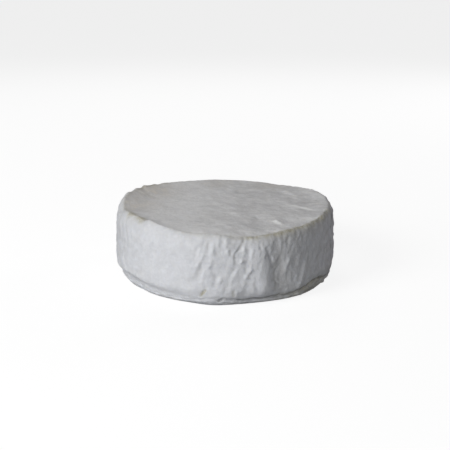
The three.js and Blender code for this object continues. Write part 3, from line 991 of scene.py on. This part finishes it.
class Nodes:
    """Short calls for adding and joining the nodes of one material."""

    def __init__(self, name):
        self.material = bpy.data.materials.new(name)
        self.material.use_nodes = True
        self.tree = self.material.node_tree
        self.shader = self.tree.nodes["Principled BSDF"]

    def add(self, kind, **settings):
        node = self.tree.nodes.new(kind)
        for name, value in settings.items():
            setattr(node, name, value)
        return node

    def feed(self, socket, value):
        if isinstance(value, bpy.types.NodeSocket):
            self.tree.links.new(value, socket)
        else:
            socket.default_value = (*value, 1) if isinstance(value, tuple) else value

    def attribute(self, name):
        return self.add("ShaderNodeAttribute", attribute_name=name).outputs["Fac"]

    def place(self):
        return self.add("ShaderNodeTexCoord").outputs["Object"]

    def noise(self, size, detail, roughness):
        """Noise with lumps of about this size in millimetres."""
        node = self.add("ShaderNodeTexNoise")
        self.feed(node.inputs["Vector"], self.place())
        node.inputs["Scale"].default_value = 1 / (size * MM)
        node.inputs["Detail"].default_value = detail
        node.inputs["Roughness"].default_value = roughness
        return node.outputs["Fac"]

    def uneven(self, stretch, onto, **noise):
        """Noise with a stretch of its values spread onto other ones."""
        node = self.add("ShaderNodeMapRange")
        self.feed(node.inputs["Value"], self.noise(**noise))
        for name, limit in zip(("From Min", "From Max", "To Min", "To Max"), (*stretch, *onto)):
            node.inputs[name].default_value = limit
        return node.outputs["Result"]

    def maths(self, operation, first, second):
        node = self.add("ShaderNodeMath", operation=operation)
        self.feed(node.inputs[0], first)
        self.feed(node.inputs[1], second)
        return node.outputs["Value"]

    def mix(self, share, first, second, blend="MIX"):
        node = self.add("ShaderNodeMix", data_type="RGBA", blend_type=blend)
        colours = [socket for socket in node.inputs if socket.type == "RGBA"]
        self.feed(node.inputs["Factor"], share)
        self.feed(colours[0], first)
        self.feed(colours[1], second)
        return next(socket for socket in node.outputs if socket.type == "RGBA")

    def bump(self, strength, depth, under=None, **noise):
        node = self.add("ShaderNodeBump")
        self.feed(node.inputs["Height"], self.noise(**noise))
        node.inputs["Strength"].default_value = strength
        node.inputs["Distance"].default_value = depth * MM
        if under:
            self.feed(node.inputs["Normal"], under)
        return node.outputs["Normal"]


def rind_material():
    """White mould nap, bluish on the side and neutral on the top, thinning to beige along the rim's edge,
    with painted shade in its grooves, under the rim and at the foot, and painted highlight on the top.
    """
    nodes = Nodes("bloomy_rind")
    # the top between grey and white: its mould, with painted shade and painted highlight
    top_colour = nodes.mix(nodes.attribute("bloom_and_light"), TOP_GREY, TOP_WHITE)
    colour = nodes.mix(nodes.attribute("top"), SIDE_WHITE, top_colour)
    warm = nodes.maths("MULTIPLY", nodes.attribute("warm"), nodes.uneven(**WARM_PATCHES))
    colour = nodes.mix(warm, colour, WARM)
    # painted shade in the grooves and on the shaded stretches of the side
    groove = nodes.maths("MULTIPLY", nodes.attribute("groove"), GROOVE_SHADE_SHARE)
    colour = nodes.mix(groove, colour, GROOVE_SHADE_GREY)
    # painted shade on the lip at the foot and in the crease over it
    colour = nodes.mix(nodes.attribute("foot_shade"), colour, FOOT_SHADE_GREY)
    beige = nodes.maths("MULTIPLY", nodes.attribute("beige"), nodes.uneven(**BEIGE_RAGS))
    colour = nodes.mix(beige, colour, BEIGE)
    shade = nodes.maths("MULTIPLY", nodes.uneven(**MOTTLE), nodes.uneven(**SPECKLE))
    grey = nodes.add("ShaderNodeCombineColor")
    for channel in ("Red", "Green", "Blue"):
        nodes.feed(grey.inputs[channel], shade)
    colour = nodes.mix(1.0, colour, grey.outputs["Color"], "MULTIPLY")
    shader = nodes.shader.inputs
    nodes.feed(shader["Base Color"], colour)
    nodes.feed(shader["Normal"], nodes.bump(**PIMPLES, under=nodes.bump(**NAP)))
    for name, value in RIND_SHADER.items():
        shader[name].default_value = value
    return nodes.material


wheel.data.materials.append(rind_material())

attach(wheel, "root")
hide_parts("wheel")

# ---- Floor, light and camera, in metres ----

FLOOR_REACH = 10
TARGET = Vector((0, 0, 22.43)) * MM  # what the lights and the camera point at
CAMERA_ELEVATION = 16.29
CAMERA_DISTANCE = 0.42
LENS = 66.66
SENSOR_WIDTH = 36
# name, azimuth, elevation, distance, size, power in watts and colour
LIGHTS = [
    ("key", -56, 30, 1.0, 0.5, 5.6, (1.0, 1.0, 1.0)),
    ("front", -10, 10, 1.0, 0.4, 3.4, (1.0, 1.0, 1.0)),
    ("back", -170, 40, 1.0, 0.5, 1.5, (1.0, 1.0, 1.0)),
    ("right", 128, 12, 1.0, 0.4, 2.6, (1.0, 0.975, 1.0)),
]


def plain_material(name, colour, glow):
    made = bpy.data.materials.new(name)
    made.use_nodes = True
    inputs = made.node_tree.nodes["Principled BSDF"].inputs
    inputs["Base Color"].default_value = (colour, colour, colour, 1)
    inputs["Roughness"].default_value = 1
    inputs["Specular IOR Level"].default_value = 0
    inputs["Emission Color"].default_value = (1, 1, 1, 1)
    inputs["Emission Strength"].default_value = glow
    return made


def floor_sheet(name, height, colour, glow):
    corners = [(FLOOR_REACH * x, FLOOR_REACH * y, height) for x, y in ((-1, -1), (1, -1), (1, 1), (-1, 1))]
    mesh = bpy.data.meshes.new(name)
    mesh.from_pydata(corners, [], [(0, 1, 2, 3)])
    mesh.materials.append(plain_material(name, colour, glow))
    sheet = bpy.data.objects.new(name, mesh)
    bpy.context.scene.collection.objects.link(sheet)
    return sheet


# The floor that is seen glows a little, so that it stays pale in soft light. It lights nothing:
# a plain sheet just under it, which isn't seen, sends the light back up.
seen_floor = floor_sheet("floor", height=-0.1 * MM, colour=0.25, glow=0.86)
seen_floor.visible_diffuse = False
seen_floor.visible_glossy = False
seen_floor.visible_transmission = False
bounce_floor = floor_sheet("floor_bounce", height=-0.2 * MM, colour=0.75, glow=0)
bounce_floor.visible_camera = False


def towards(azimuth, elevation, distance):
    a, e = math.radians(azimuth), math.radians(elevation)
    return TARGET + distance * Vector((math.sin(a) * math.cos(e), -math.cos(a) * math.cos(e), math.sin(e)))


def aim(obj, spot):
    obj.location = spot
    obj.rotation_euler = (TARGET - spot).to_track_quat("-Z", "Y").to_euler()


def area_light(name, azimuth, elevation, distance, size, power, colour):
    data = bpy.data.lights.new(name, "AREA")
    data.shape = "DISK"
    data.size = size
    data.energy = power
    data.color = colour
    light = bpy.data.objects.new(name, data)
    bpy.context.scene.collection.objects.link(light)
    aim(light, towards(azimuth, elevation, distance))


for light_row in LIGHTS:
    area_light(*light_row)

# what the camera sees beyond the floor, which lights nothing
world = bpy.data.worlds.new("studio")
bpy.context.scene.world = world
world.use_nodes = True
background = world.node_tree.nodes["Background"]
background.inputs["Color"].default_value = (1, 1, 1, 1)
background.inputs["Strength"].default_value = 1
world.cycles_visibility.diffuse = False
world.cycles_visibility.glossy = False

camera_data = bpy.data.cameras.new("camera")
camera_data.lens = LENS
camera_data.sensor_width = SENSOR_WIDTH
camera = bpy.data.objects.new("camera", camera_data)
bpy.context.scene.collection.objects.link(camera)
aim(camera, towards(0, CAMERA_ELEVATION, CAMERA_DISTANCE))
bpy.context.scene.camera = camera

bpy.context.scene.view_settings.view_transform = "Standard"
